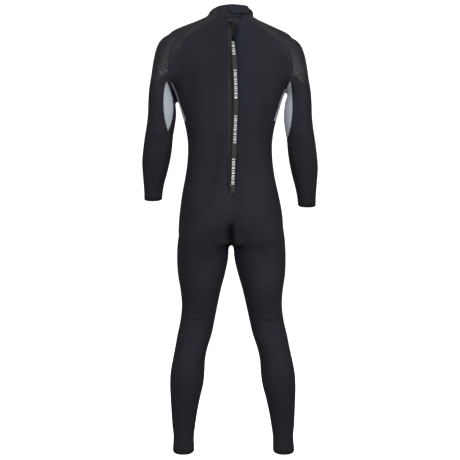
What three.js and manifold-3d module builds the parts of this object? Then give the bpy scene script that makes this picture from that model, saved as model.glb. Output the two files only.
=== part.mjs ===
// Full-length back-zip wetsuit, filled out as it is when worn: neoprene panels, collar with a hook-and-loop neck tab,
// a coil zip down the spine with its slider, pull tab and webbing leash, and hemmed wrist and ankle cuffs.
// Millimetres. +Z is up, the back faces -Y, the wearer's right side is +X. The origin is the centre of the neck opening
// at the foot of the collar. Every limb and the trunk is a loft of level sections, and the panels are cut from the shell.
import * as THREE from "three";
import { mergeVertices } from "three/addons/utils/BufferGeometryUtils.js";
import Module from "manifold-3d";

const wasm = await Module();
wasm.setup();

// ---- driving dimensions ----
const WALL = 3.5; // neoprene with its two linings
const KERF = 0.3; // gap between panels that meet at a seam
const FAR = 400; // past the suit on every side
const ROUNDNESS = 2.25; // exponent of every section: 2 is an ellipse, more is squarer
const SPINE_Y = -86; // the zip's line at the height of the origin
const SPINE_LEAN = 0.027; // how far the zip's line runs backward for each mm down
const FURROW_WIDTH = 34; // of the hollow along the spine
const ZIP_X = 1.5; // the zip's line stands a little to the right of the suit's middle
const ZIP_TOP = -12;
const ZIP_BOTTOM = -557;
const ZIP_LEFT_EDGE = -9; // neoprene edges on each side of the zip
const ZIP_RIGHT_EDGE = 12;
const SLIDER_Z = -26; // middle of the slider with the zip closed
const PULL_LEAN = 0.87; // how far the pull tab is turned aside, in radians
const PULL_LIFT = 0.26; // how far it stands off the back, in radians
const LEASH_WIDTH = 15;
const ELBOW_Z = -378;
const ELBOW_REACH = 60; // the flexing sleeve above and below the elbow
const KNEE_Z = -981;
const KNEE_REACH = 75;
const CUFF_HEIGHT = 14;

// Trunk sections from the crotch to the collar's rim:
// [height, half width, y of the sides, y of the front, depth of the spine furrow, front drop, back drop]
const TRUNK = [
  [-757, 150, -8, 60, 8, 0, 0],
  [-725, 172, -8, 76, 18, 0, 0],
  [-685, 179, -8, 90, 24, 0, 0],
  [-640, 173, -7, 92, 20, 0, 0],
  [-590, 163, -6, 92, 14, 0, 0],
  [-530, 150, -5, 92, 8, 0, 0],
  [-470, 142, -4, 92, 6, 0, 0],
  [-415, 141, -4, 94, 6, 0, 0],
  [-360, 149, -4, 98, 7, 0, 0],
  [-310, 163, -5, 104, 8, 0, 0],
  [-262, 177, -6, 110, 9.5, 0, 0],
  [-235, 187, -7, 112, 10, 0, 0],
  [-205, 197, -8, 113, 10, 0, 0],
  [-165, 206, -10, 112, 10, 0, 0],
  [-125, 210, -12, 108, 9, 12, 1],
  [-92, 211, -13, 102, 7.5, 24, 4],
  [-68, 209, -14, 95, 6, 34, 6],
  [-50, 202, -15, 87, 4, 42, 8],
  [-38, 185, -15, 80, 3, 46, 8],
  [-28, 163, -15, 74, 2, 46, 6],
  [-18, 141, -14, 68, 1, 44, 4],
  [-4, 108, -14, 60, 0, 40, 2],
];
// Collar sections, from its foot up: [height, half width, y of the sides, y of the front, y of the back, drops]
const COLLAR = [
  [-3.7, 108, -14, 60, -86, 40, 2],
  [4, 88, -12, 58, -81, 34, -6],
  [14, 76, -8, 58, -73, 28, -14],
  [28, 71, -2, 60, -62, 20, -20],
];
// Arm sections: [height, x of the middle, half width, y of the middle, half depth]
const SHOULDER_CAP = { z: -112, x: 180, y: -15, halfWidth: 65, halfDepth: 60, rise: 63 };
const ARM = [
  [-150, 196, 58, -14, 60],
  [-190, 208, 53.5, -13, 57],
  [-230, 230.5, 38.5, -12, 54],
  [-270, 226.5, 46.5, -12, 52],
  [-318, 226.5, 48, -12, 49],
  [-350, 230.5, 47.5, -10, 47],
  [-390, 237.5, 47.5, -5, 46],
  [-438, 243.5, 48.5, 5, 45],
  [-475, 249, 47, 15, 43],
  [-510, 253, 42, 25, 40],
  [-550, 257.5, 35, 37, 35],
  [-585, 260, 31, 47, 31],
  [-640, 263, 31, 63, 31],
];
// Leg sections: [height, x of the middle, half width, y of the front, y of the back]
const LEG = [
  [-650, 88, 74, 66, -92],
  [-690, 90, 83, 76, -116],
  [-725, 92, 86, 81, -119],
  [-767, 94, 87, 84, -117],
  [-807, 96.5, 85, 84, -109],
  [-850, 100.5, 79, 80, -98],
  [-906, 104, 67, 72, -84],
  [-950, 107, 60.5, 68, -72],
  [-1003, 115, 57.5, 63, -61],
  [-1056, 126.5, 57, 54, -63],
  [-1095, 136.5, 54, 49, -70],
  [-1135, 145, 54, 45, -77],
  [-1185, 151, 57, 40, -82],
  [-1220, 154, 55.5, 37, -80],
  [-1260, 158.5, 50, 34, -74],
  [-1300, 162, 44.5, 31, -65],
  [-1350, 165, 39, 29, -53],
  [-1400, 166, 34, 28, -46],
  [-1430, 167, 35.5, 30, -46],
  [-1475, 168, 36, 30, -46],
];
// The posture: the right arm hangs a little lower, and both legs stand a little to the wearer's right.
const SIDES = [
  { name: "left", sign: -1, reach: 1 },
  { name: "right", sign: 1, reach: 1.035 },
];
const lean = (z) => 4 + (8 * Math.max(0, -z - 757)) / 690;
// Cut planes of the cuffs: the middle of each open end, and the way that it faces
const WRIST_END = { x: 261.5, y: 52, z: -600, forward: 0.3 };
const ANKLE_END = { x: 167, y: -8, z: -1441, forward: 0.24 };

// ---- materials ----
const fabric = (color, roughness) => new THREE.MeshStandardMaterial({ color, roughness, metalness: 0 });
const NEOPRENE = fabric(0x2a2a31, 0.85);
const SMOOTH_SKIN = fabric(0x2e2f31, 0.5);
const GREY_NEOPRENE = fabric(0x9aa0a7, 0.8);
const KNEE_PAD = fabric(0x232329, 0.9);
const EDGING = fabric(0x1c1b1f, 0.8);
const TAPE = fabric(0x26262c, 0.85);
const WEBBING = fabric(0x3a3630, 0.8);
const PAD = fabric(0x17171a, 1);
const COIL = fabric(0x4a463a, 0.45);
const METAL = new THREE.MeshStandardMaterial({ color: 0x2b2b2d, roughness: 0.35, metalness: 0.8 });

// ---- solids ----
function solidOf(geometry) {
  const bare = geometry.index ? geometry.toNonIndexed() : geometry.clone();
  bare.deleteAttribute("normal");
  bare.deleteAttribute("uv");
  const merged = mergeVertices(bare, 1e-3);
  const triVerts = new Uint32Array(merged.index.array);
  return new wasm.Manifold(
    new wasm.Mesh({ numProp: 3, vertProperties: merged.attributes.position.array, triVerts }),
  );
}

function geometryOf(solid) {
  const { numProp, vertProperties, triVerts } = solid.getMesh();
  const count = vertProperties.length / numProp;
  const position = new Float32Array(count * 3);
  for (let i = 0; i < count; i++) {
    position.set(vertProperties.subarray(i * numProp, i * numProp + 3), i * 3);
  }
  const geometry = new THREE.BufferGeometry()
    .setAttribute("position", new THREE.BufferAttribute(position, 3))
    .setIndex(new THREE.BufferAttribute(new Uint32Array(triVerts), 1));
  geometry.computeVertexNormals();
  return geometry;
}

const union = (solids) => solids.reduce((sum, next) => sum.add(next));

// A prism whose outline is drawn in x and z, running along Y from y0 to y1.
function prismY(outline, y0, y1) {
  const shape = new THREE.Shape(outline.map(([x, z]) => new THREE.Vector2(x, z)));
  const geometry = new THREE.ExtrudeGeometry(shape, { depth: y1 - y0, bevelEnabled: false });
  return solidOf(geometry.rotateX(Math.PI / 2).translate(0, y1, 0));
}

// A prism whose outline is drawn in y and z, running along X from x0 to x1.
function prismX(outline, x0, x1) {
  const shape = new THREE.Shape(outline.map(([y, z]) => new THREE.Vector2(y, z)));
  const geometry = new THREE.ExtrudeGeometry(shape, { depth: x1 - x0, bevelEnabled: false });
  const turn = new THREE.Matrix4().makeBasis(
    new THREE.Vector3(0, 1, 0), new THREE.Vector3(0, 0, 1), new THREE.Vector3(1, 0, 0),
  );
  return solidOf(geometry.applyMatrix4(turn).translate(x0, 0, 0));
}

const slab = (x0, x1, y0, y1, z0, z1) =>
  solidOf(new THREE.BoxGeometry(x1 - x0, y1 - y0, z1 - z0)
    .translate((x0 + x1) / 2, (y0 + y1) / 2, (z0 + z1) / 2));

// The outline of a band that follows a line of points, width wide.
function band(points, width) {
  const sides = [[], []];
  points.forEach(([u, v], i) => {
    const [u0, v0] = points[Math.max(i - 1, 0)];
    const [u1, v1] = points[Math.min(i + 1, points.length - 1)];
    const length = Math.hypot(u1 - u0, v1 - v0);
    const nu = ((v0 - v1) / length) * (width / 2);
    const nv = ((u1 - u0) / length) * (width / 2);
    sides[0].push([u + nu, v + nv]);
    sides[1].unshift([u - nu, v - nv]);
  });
  return [...sides[0], ...sides[1]];
}

// ---- lofts ----
const power = (value) => Math.sign(value) * Math.abs(value) ** (2 / ROUNDNESS);

// One closed ring of points. The sides are at y = side; front and back are drawn and dropped apart from each other.
function ring(section, count) {
  const points = [];
  for (let i = 0; i < count; i++) {
    const turn = (2 * Math.PI * i) / count;
    const [across, along] = [Math.cos(turn), Math.sin(turn)];
    const x = section.x + section.halfWidth * power(across);
    const depth = along >= 0 ? section.front - section.side : section.side - section.back;
    const drop = along >= 0 ? section.frontDrop : section.backDrop;
    const hollow = along < 0 ? section.furrow * Math.exp(-((x / FURROW_WIDTH) ** section.furrowSharpness)) : 0;
    const y = section.side + power(along) * depth + hollow;
    points.push(new THREE.Vector3(x, y, section.z - drop * along * along));
  }
  return points;
}

const plain = { frontDrop: 0, backDrop: 0, furrow: 0, furrowSharpness: 2 };
const spineY = (z) => SPINE_Y + SPINE_LEAN * z;

const trunkSection = ([z, halfWidth, side, front, furrow, frontDrop, backDrop]) => ({
  z, x: 0, halfWidth, side, front, back: spineY(z - backDrop) - furrow,
  frontDrop, backDrop, furrow, furrowSharpness: z > ZIP_BOTTOM - 20 ? 4 : 2,
});
const collarSection = ([z, halfWidth, side, front, back, frontDrop, backDrop]) => ({
  ...plain, z, x: 0, halfWidth, side, front, back, frontDrop, backDrop,
});

function armSections({ sign, reach }) {
  const { z, x, y, halfWidth, halfDepth, rise } = SHOULDER_CAP;
  const cap = [78, 56, 34, 12].map((degrees) => {
    const angle = THREE.MathUtils.degToRad(degrees);
    const shrink = Math.cos(angle);
    return [z + rise * Math.sin(angle), x, halfWidth * shrink, y, halfDepth * shrink];
  });
  return [...cap, ...ARM].reverse().map(([height, middle, half, centre, deep]) => ({
    ...plain, z: height * reach, x: sign * middle, halfWidth: half,
    side: centre, front: centre + deep, back: centre - deep,
  }));
}

const legSections = ({ sign }) => [...LEG].reverse().map(([z, middle, half, front, back]) => ({
  ...plain, z, x: sign * middle + lean(z), halfWidth: half, side: (front + back) / 2, front, back,
}));

// The loft's rings moved outward by distance along the surface normal; a negative distance goes inward.
function offset(rings, distance) {
  return rings.map((points, j) => points.map((point, i) => {
    const n = points.length;
    const around = points[(i + 1) % n].clone().sub(points[(i + n - 1) % n]);
    const up = rings[Math.min(j + 1, rings.length - 1)][i].clone().sub(rings[Math.max(j - 1, 0)][i]);
    return point.clone().addScaledVector(around.cross(up).normalize(), distance);
  }));
}

// Rings listed from the bottom up, closed by a fan at each end. lower and upper add straight ends of that length.
function loft(rings, lower = 0, upper = 0) {
  const all = [...rings];
  const shifted = (points, dz) => points.map((p) => p.clone().setZ(p.z + dz));
  if (lower) all.unshift(shifted(rings[0], -lower));
  if (upper) all.push(shifted(rings.at(-1), upper));
  const n = rings[0].length;
  const triangles = [];
  const middle = (points) => points.reduce((sum, p) => sum.add(p), new THREE.Vector3()).divideScalar(n);
  const [foot, head] = [middle(all[0]), middle(all.at(-1))];
  for (let i = 0; i < n; i++) {
    const k = (i + 1) % n;
    for (let j = 0; j + 1 < all.length; j++) {
      triangles.push(all[j][i], all[j][k], all[j + 1][k], all[j][i], all[j + 1][k], all[j + 1][i]);
    }
    triangles.push(foot, all[0][k], all[0][i], head, all.at(-1)[i], all.at(-1)[k]);
  }
  return solidOf(new THREE.BufferGeometry().setFromPoints(triangles));
}

// ---- the shell: every limb's outside, less every limb's inside ----
const TRUNK_POINTS = 24;
const LIMB_POINTS = 12;
const OPEN_END = 40; // how far the inside runs on past an open end
const trunkRings = TRUNK.map((row) => ring(trunkSection(row), TRUNK_POINTS));
const collarRings = COLLAR.map((row) => ring(collarSection(row), TRUNK_POINTS));
const limbRings = SIDES.flatMap((side) => [
  armSections(side).map((section) => ring(section, LIMB_POINTS)),
  legSections(side).map((section) => ring(section, LIMB_POINTS)),
]);

function makeShell() {
  const outside = union([loft(trunkRings), ...limbRings.map((rings) => loft(rings))]);
  const lining = offset(trunkRings, -WALL);
  lining[0].forEach((point) => point.setZ(point.z + WALL));
  const inside = union([
    loft(lining, 0, OPEN_END),
    ...limbRings.map((rings) => loft(offset(rings, -WALL), OPEN_END)),
  ]);
  return outside.subtract(inside);
}

// ---- cutting into panels ----
const cut = (part, cutters) => cutters.reduce((rest, cutter) => rest.subtract(cutter), part);

// The pieces a part falls into, each under the name whose point is nearest to the piece's middle.
function split(part, names) {
  const pieces = part.decompose().filter((piece) => piece.volume() > 50);
  const found = {};
  for (const piece of pieces) {
    const { min, max } = piece.boundingBox();
    const away = ([, point]) => Math.hypot(...point.map((value, k) => value - (min[k] + max[k]) / 2));
    const [name] = Object.entries(names).sort((a, b) => away(a) - away(b))[0];
    if (found[name]) throw new Error(`two pieces are nearest to ${name}`);
    found[name] = piece;
  }
  if (pieces.length !== Object.keys(names).length) throw new Error(`${pieces.length} pieces for ${Object.keys(names)}`);
  return found;
}

const seamY = (points, y0 = -FAR, y1 = FAR) => prismY(band(points, KERF), y0, y1);
const seamX = (points, x0 = -FAR, x1 = FAR) => prismX(band(points, KERF), x0, x1);
const level = (z, width = KERF) => slab(-FAR, FAR, -FAR, FAR, z - width / 2, z + width / 2);
const mirrored = (points, { sign }) => points.map(([x, z]) => [sign * x, z]);

// A slice of the half space beyond a cuff's plane, from distance low to high above it
function cuffSlice({ sign, reach }, end, low, high) {
  const ankle = end === ANKLE_END;
  const box = new THREE.BoxGeometry(160, 200, high - low).translate(0, 0, (low + high) / 2);
  const x = sign * end.x + (ankle ? lean(end.z) : 0);
  return solidOf(box.rotateX(end.forward).translate(x, end.y, end.z * (ankle ? 1 : reach)));
}

// The zip's opening in the back: narrow between the coil's tapes, wider where the neck is wrapped
const ZIP_OPENING = [
  [ZIP_LEFT_EDGE, ZIP_BOTTOM - 8], [ZIP_RIGHT_EDGE, ZIP_BOTTOM - 8],
  [ZIP_RIGHT_EDGE, -60], [15, -49], [24, -34], [34, -20], [38, -8], [38, 30], [-12, 30], [-12, -10], [ZIP_LEFT_EDGE, -60],
];
const RAGLAN = [[62, 60], [100, -4], [131, -35], [178, -78], [203, -128], [207, -180]];

function raglanSeam(side) {
  const line = [...RAGLAN, [199, -208 * side.reach], [187, -240 * side.reach]];
  return seamY(mirrored(line, side));
}

const shellParts = split(
  cut(makeShell(), [prismY(ZIP_OPENING, -FAR, -30), ...SIDES.map(raglanSeam)]),
  { body: [0, 0, -760], left_sleeve: [-200, 0, -300], right_sleeve: [200, 0, -300] },
);

function sleevePanels(side) {
  const { name, sign, reach } = side;
  const at = (x, y, z) => [sign * x, y, z * reach];
  const xz = (points) => points.map(([x, z]) => [sign * x, z * reach]);
  const [elbowTop, elbowFoot] = [ELBOW_Z + ELBOW_REACH, ELBOW_Z - ELBOW_REACH].map((z) => z * reach);
  const tail = cuffSlice(side, WRIST_END, -120, 0);
  const hem = cuffSlice(side, WRIST_END, CUFF_HEIGHT, CUFF_HEIGHT + KERF);
  const parts = split(
    cut(shellParts[`${name}_sleeve`], [tail, hem, level(elbowTop), level(elbowFoot),
      seamY(xz([[150, -186], [206, -186], [FAR, -244]]))]),
    {
      shoulder: at(185, -12, -105), upper: at(230, -12, -260), elbow: at(236, -5, -378),
      forearm: at(250, 20, -510), hem: at(261, 52, -595),
    },
  );
  const upper = split(
    cut(parts.upper, [seamY(xz([[208, -150], [216, -235], [218, -285], [212, -340]]))]),
    { inner: at(198, -10, -260), outer: at(245, -12, -260) },
  );
  const forearm = split(
    cut(parts.forearm, [seamY(xz([[206, -420], [220, -455], [238, -510], [254, -560], [262, -620]]))]),
    { inner: at(222, 30, -515), outer: at(262, 25, -510) },
  );
  return {
    [`shoulder_${name}`]: [parts.shoulder, SMOOTH_SKIN],
    [`upper_sleeve_${name}`]: [upper.outer, NEOPRENE],
    [`underarm_${name}`]: [upper.inner, GREY_NEOPRENE],
    [`elbow_${name}`]: [parts.elbow, NEOPRENE],
    [`forearm_outer_${name}`]: [forearm.outer, NEOPRENE],
    [`forearm_inner_${name}`]: [forearm.inner, NEOPRENE],
    [`wrist_hem_${name}`]: [parts.hem, EDGING],
  };
}

const KNEE_ENDS = [KNEE_Z + KNEE_REACH, KNEE_Z - KNEE_REACH];
// The side seam runs down the middle of the body's depth, outside and inside each leg.
const SIDE_SEAM = [[-2, -100], [-4, -345], [-8, -700], [-12, -1000], [-16, -1150], [-12, -1500]];

function bodyPanels() {
  const cuffs = SIDES.flatMap((side) => [
    cuffSlice(side, ANKLE_END, -120, 0), cuffSlice(side, ANKLE_END, CUFF_HEIGHT, CUFF_HEIGHT + KERF),
  ]);
  const parts = split(cut(shellParts.body, [...cuffs, ...KNEE_ENDS.map((z) => level(z))]), {
    trunk: [0, 0, -460],
    left_knee: [-105, 0, -980], right_knee: [117, 0, -980],
    left_shin: [-130, -15, -1240], right_shin: [150, -15, -1240],
    left_hem: [-156, -8, -1435], right_hem: [179, -8, -1435],
  });
  const back = [-190, -130, -85, -40, 0, 40, 85, 130, 190].map((x) => [x, -382 + 46 * (x / 160) ** 2]);
  const flank = (y) => seamX([[-4, -150], [y * 0.55, -240], [y * 0.85, -290], [y, -345], [y, -400]]);
  const trunk = split(
    cut(parts.trunk, [seamX(SIDE_SEAM).intersect(slab(-FAR, FAR, -FAR, FAR, -920, -343)),
      flank(-46), flank(42),
      slab(-FAR, FAR, -50, 46, -343 - KERF / 2, -343 + KERF / 2),
      seamY(back, -FAR, -38),
      seamY([[-190, -338], [-141, -343], [0, -364], [141, -343], [190, -338]], 38, FAR),
      seamY([[-190, -560], [-90, -598], [0, -606], [90, -598], [190, -560]], -8, FAR),
      seamY([[0, ZIP_BOTTOM], [0, -800]], -FAR, -8),
      seamY([[0, -600], [0, -800]], -8.2, FAR)]),
    {
      upper_left: [-105, -60, -190], upper_right: [105, -60, -190],
      lower_left: [-90, -60, -640], lower_right: [90, -60, -640],
      side_left: [-175, -2, -260], side_right: [175, -2, -260],
      chest: [0, 50, -190], belly: [0, 50, -480], front_left: [-90, 45, -740], front_right: [90, 45, -740],
    },
  );
  const panels = {
    back_left: [trunk.upper_left, NEOPRENE], back_right: [trunk.upper_right, NEOPRENE],
    side_strip_left: [trunk.side_left, GREY_NEOPRENE], side_strip_right: [trunk.side_right, GREY_NEOPRENE],
    chest: [trunk.chest, NEOPRENE], belly: [trunk.belly, NEOPRENE],
    seat_left: [trunk.lower_left, NEOPRENE], seat_right: [trunk.lower_right, NEOPRENE],
    thigh_left: [trunk.front_left, NEOPRENE], thigh_right: [trunk.front_right, NEOPRENE],
  };
  for (const { name, sign } of SIDES) {
    const x = sign * 115 + 10;
    const knee = split(cut(parts[`${name}_knee`], [seamX(SIDE_SEAM)]), { front: [x, 30, -980], back: [x, -40, -980] });
    const shin = split(cut(parts[`${name}_shin`], [seamX(SIDE_SEAM)]), { front: [x, 15, -1240], back: [x, -45, -1240] });
    Object.assign(panels, {
      [`knee_pad_${name}`]: [knee.front, KNEE_PAD], [`knee_back_${name}`]: [knee.back, NEOPRENE],
      [`shin_${name}`]: [shin.front, NEOPRENE], [`calf_${name}`]: [shin.back, NEOPRENE],
      [`ankle_hem_${name}`]: [parts[`${name}_hem`], EDGING],
    });
  }
  return panels;
}

// ---- the collar and its neck tab ----
const collarLayer = (inner, outer) => loft(offset(collarRings, outer)).subtract(
  loft(offset(collarRings, inner), OPEN_END, OPEN_END),
);
const onCollar = (outline, inner, outer) => collarLayer(inner, outer).intersect(prismY(outline, -FAR, -25));
const TAB = [[-2, 12], [2, 8], [30, 6], [58, 4], [58, 33], [30, 40], [2, 42], [-2, 37]];
const TAB_ROOT = [[44, 4.5], [58, 4], [58, 33], [44, 36]];
const TAB_PAD = [[3, 13], [32, 11], [32, 36], [3, 38]];

function collarPanels() {
  const collar = collarLayer(-WALL, 0).subtract(slab(36, 38, -FAR, -20, -60, 80));
  return {
    collar: [collar, NEOPRENE],
    neck_tab: [onCollar(TAB, 2.9, 6).add(onCollar(TAB_ROOT, 0.35, 3.2)), NEOPRENE],
    tab_hooks: [onCollar(TAB_PAD, 1.6, 2.6), PAD],
    collar_loops: [onCollar(TAB_PAD, 0.3, 1.3), PAD],
  };
}

// ---- the zip, drawn on a flat plane and leaned onto the spine's line ----
// In this frame y = 0 is the neoprene's outer face, and y grows into the suit.
const LEANED = new THREE.Matrix4().set(1, 0, 0, 0, 0, 1, SPINE_LEAN, SPINE_Y, 0, 0, 1, 0, 0, 0, 0, 1);

function onSpine(outline, y0, y1) {
  const shape = new THREE.Shape(outline.map(([x, z]) => new THREE.Vector2(x, z)));
  const geometry = new THREE.ExtrudeGeometry(shape, { depth: y1 - y0, bevelEnabled: false });
  return solidOf(geometry.rotateX(Math.PI / 2).translate(0, y1, 0).applyMatrix4(LEANED));
}

const spineBox = (x0, x1, y0, y1, z0, z1) => onSpine([[x0, z0], [x1, z0], [x1, z1], [x0, z1]], y0, y1);
const zipBox = (x0, x1, y0, y1, z0, z1) => spineBox(ZIP_X + x0, ZIP_X + x1, y0, y1, z0, z1);

function zipParts() {
  const row = (s) => (s < 0 ? [-3.3, -0.7] : [0.7, 3.3]);
  // Each tape narrows at the top, where the back curves in behind it.
  const tape = (s) => [[1, ZIP_BOTTOM - 16], [20, ZIP_BOTTOM - 16], [20, -80], [9.5, -62], [9.5, ZIP_TOP + 2],
    [1, ZIP_TOP + 2]].map(([x, z]) => [ZIP_X + s * x, z]);
  const stop = ZIP_BOTTOM + 1;
  const parts = {
    under_flap: [onSpine([[-26, -566], [26, -566], [26, -80], [38, -40], [40, -14], [-24, -14]], 6.5, 8.5), TAPE],
    zip_stop: [zipBox(-4, 4, 0.9, 3.6, stop - 7, stop - 0.3), COIL],
  };
  for (const { name, sign } of SIDES) {
    const [x0, x1] = row(sign);
    parts[`zip_coil_${name}`] = [zipBox(x0, x1, 1.3, 3.6, stop, ZIP_TOP), COIL];
    parts[`zip_tape_${name}`] = [onSpine(tape(sign), 3.9, 4.7), TAPE];
    parts[`top_stop_${name}`] = [zipBox(x0, x1, 1.3, 3.6, ZIP_TOP + 0.3, ZIP_TOP + 4), METAL];
  }
  return parts;
}

function sliderSolid() {
  const outline = [[-3, -8], [3, -8], [5.6, -1], [5.6, 8], [-5.6, 8], [-5.6, -1]];
  const plate = (y0, y1) => onSpine(outline.map(([x, z]) => [ZIP_X + x, SLIDER_Z + z]), y0, y1);
  const z = (value) => SLIDER_Z + value;
  return union([
    plate(-0.9, 0.9),
    plate(5, 5.9),
    zipBox(-0.4, 0.4, 0.8, 5.1, z(2), z(8)), // the wedge between the rows
    zipBox(-5.6, -4.2, 0.8, 3.5, z(-1), z(8)),
    zipBox(4.2, 5.6, 0.8, 3.5, z(-1), z(8)),
    zipBox(-1.2, 1.2, -4.8, -0.8, z(-5), z(-3.5)), // the bridge that holds the pull
    zipBox(-1.2, 1.2, -4.8, -0.8, z(3.5), z(5)),
    zipBox(-1.2, 1.2, -4.8, -3.6, z(-5), z(5)),
  ]);
}

// The pull tab lies turned aside under the neck tab, its cross bar through the slider's bridge.
function pullSolid() {
  const frame = new THREE.Shape([
    [-7, -9], [-10.5, -16], [-10.5, -26], [10.5, -26], [10.5, -16], [7, -9], [7, 1], [-7, 1],
  ].map(([x, z]) => new THREE.Vector2(x, z)));
  frame.holes.push(new THREE.Path([[-5.3, -1], [5.3, -1], [5.3, -7], [-5.3, -7]].map(([x, z]) => new THREE.Vector2(x, z))));
  frame.holes.push(new THREE.Path([[-8.2, -19.6], [8.2, -19.6], [8.2, -23], [-8.2, -23]].map(([x, z]) => new THREE.Vector2(x, z))));
  const geometry = new THREE.ExtrudeGeometry(frame, { depth: 1.4, bevelEnabled: false });
  geometry.translate(0, 0, -0.7).rotateX(Math.PI / 2 - PULL_LIFT).translate(0, -2.2, 0);
  geometry.rotateY(-PULL_LEAN).translate(ZIP_X, 0, SLIDER_Z);
  return solidOf(geometry.applyMatrix4(LEANED));
}

// ---- the leash: webbing that hangs from the pull tab down the back ----
const LEASH_LINE = [
  [21, -44], [12, -60], [8, -77], [13, -135], [17, -190], [20, -270], [18.5, -335], [15, -425], [12, -480], [9, -560],
];
const LEASH_OUT = [-10, -12]; // the webbing's two faces, out from the back
function leashParts() {
  const tip = [[1.5, -561], [16.5, -561], [16.5, -583], [14, -586], [4, -586], [1.5, -583]];
  return {
    leash: [onSpine(band(LEASH_LINE, LEASH_WIDTH), LEASH_OUT[1], LEASH_OUT[0]), WEBBING],
    leash_tip: [onSpine(tip, LEASH_OUT[1] - 0.5, LEASH_OUT[0] + 0.5), EDGING],
  };
}

// ---- the suit ----
const parts = {
  ...bodyPanels(),
  ...Object.assign({}, ...SIDES.map(sleevePanels)),
  ...collarPanels(),
  ...zipParts(),
  slider: [sliderSolid(), METAL],
  pull_tab: [pullSolid(), METAL],
  ...leashParts(),
};
const suit = new THREE.Group();
for (const [name, [solid, material]] of Object.entries(parts)) {
  const mesh = new THREE.Mesh(geometryOf(solid), material);
  mesh.name = name;
  suit.add(mesh);
}
export default suit;
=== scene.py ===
"""Full-length back-zip wetsuit: neoprene panels sewn edge to edge over a worn body shape, a wrapped collar,
a coil zip with its slider and pull tab, and a printed webbing leash. Metres; +Z up, the back faces -Y."""

import math

import bpy
import numpy as np
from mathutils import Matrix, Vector


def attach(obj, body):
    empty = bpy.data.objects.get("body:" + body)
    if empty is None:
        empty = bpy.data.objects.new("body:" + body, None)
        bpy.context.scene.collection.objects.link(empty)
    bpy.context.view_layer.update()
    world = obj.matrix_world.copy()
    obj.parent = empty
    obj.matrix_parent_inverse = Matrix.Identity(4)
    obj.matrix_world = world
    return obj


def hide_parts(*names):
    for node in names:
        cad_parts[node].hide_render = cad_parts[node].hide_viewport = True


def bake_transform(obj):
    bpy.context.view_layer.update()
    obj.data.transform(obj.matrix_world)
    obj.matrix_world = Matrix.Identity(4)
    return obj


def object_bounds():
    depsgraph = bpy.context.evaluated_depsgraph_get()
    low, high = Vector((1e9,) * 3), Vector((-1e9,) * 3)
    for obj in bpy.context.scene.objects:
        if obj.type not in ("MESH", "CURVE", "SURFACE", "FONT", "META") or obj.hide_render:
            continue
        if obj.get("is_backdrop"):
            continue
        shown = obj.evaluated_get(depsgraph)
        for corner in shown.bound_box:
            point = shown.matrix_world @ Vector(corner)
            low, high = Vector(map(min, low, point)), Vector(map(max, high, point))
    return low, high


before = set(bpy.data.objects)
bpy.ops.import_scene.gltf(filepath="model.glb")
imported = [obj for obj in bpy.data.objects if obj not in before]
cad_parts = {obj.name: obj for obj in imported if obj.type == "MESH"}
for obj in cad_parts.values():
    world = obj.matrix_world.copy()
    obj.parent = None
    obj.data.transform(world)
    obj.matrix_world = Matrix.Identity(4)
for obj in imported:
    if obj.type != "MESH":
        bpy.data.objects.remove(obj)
CAD_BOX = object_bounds()
MM = 0.001

# ---- sizes shared with the frame ----
SPINE_Y = -86
SPINE_LEAN = 0.027
ZIP_X = 1.5
ZIP_TOP = -12
ZIP_BOTTOM = -557
SLIDER_Z = -26
PULL_LEAN = 0.87
PULL_LIFT = 0.26
ROUNDNESS = 2.25
FURROW_WIDTH = 34
THICKNESS = 3.2
LEASH_WIDTH = 15
KNEE_SPAN = (-906, -1056)
CUFF_HEIGHT = 14
VOXEL = 5.5
SEAM_HALF = 1.5
SEAM_DEPTH = 0.9
CROTCH = -757
LEG_MIDDLE = 4  # the legs meet a little right of x = 0
WAIST = -343
REACH = {"left": 1.0, "right": 1.035}
SIGN = {"left": -1, "right": 1}

# Trunk rows: height, half width, y of the sides, y of the front, depth of the spine furrow, front and back drop
TRUNK = [
    (-757, 150, -8, 60, 8, 0, 0),
    (-725, 172, -8, 76, 18, 0, 0),
    (-685, 179, -8, 90, 24, 0, 0),
    (-640, 173, -7, 92, 20, 0, 0),
    (-590, 163, -6, 92, 14, 0, 0),
    (-530, 150, -5, 92, 8, 0, 0),
    (-470, 142, -4, 92, 6, 0, 0),
    (-415, 141, -4, 94, 6, 0, 0),
    (-360, 149, -4, 98, 7, 0, 0),
    (-310, 163, -5, 104, 8, 0, 0),
    (-262, 177, -6, 110, 9.5, 0, 0),
    (-235, 187, -7, 112, 10, 0, 0),
    (-205, 197, -8, 113, 10, 0, 0),
    (-165, 206, -10, 112, 10, 0, 0),
    (-125, 210, -12, 108, 9, 12, 1),
    (-92, 211, -13, 102, 7.5, 24, 4),
    (-68, 209, -14, 95, 6, 34, 6),
    (-50, 202, -15, 87, 4, 42, 8),
    (-38, 185, -15, 80, 3, 46, 8),
    (-28, 163, -15, 74, 2, 46, 6),
    (-18, 141, -14, 68, 1, 44, 4),
    (-4, 108, -14, 60, 0, 40, 2),
]
# Collar rows: height, half width, y of the sides, front and back, front drop, back drop
COLLAR = [
    (4, 84, -12, 58, -81, 34, -6),
    (12, 76, -8, 58, -74, 28, -12),
    (20, 75, -5, 59, -68, 24, -17),
    (30, 72, -2, 60, -61, 20, -20),
    (44, 60, -2, 60, -59, 20, -20),
]
CAP = {"z": -112, "x": 180, "y": -15, "half_width": 65, "half_depth": 60, "rise": 63}
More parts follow.
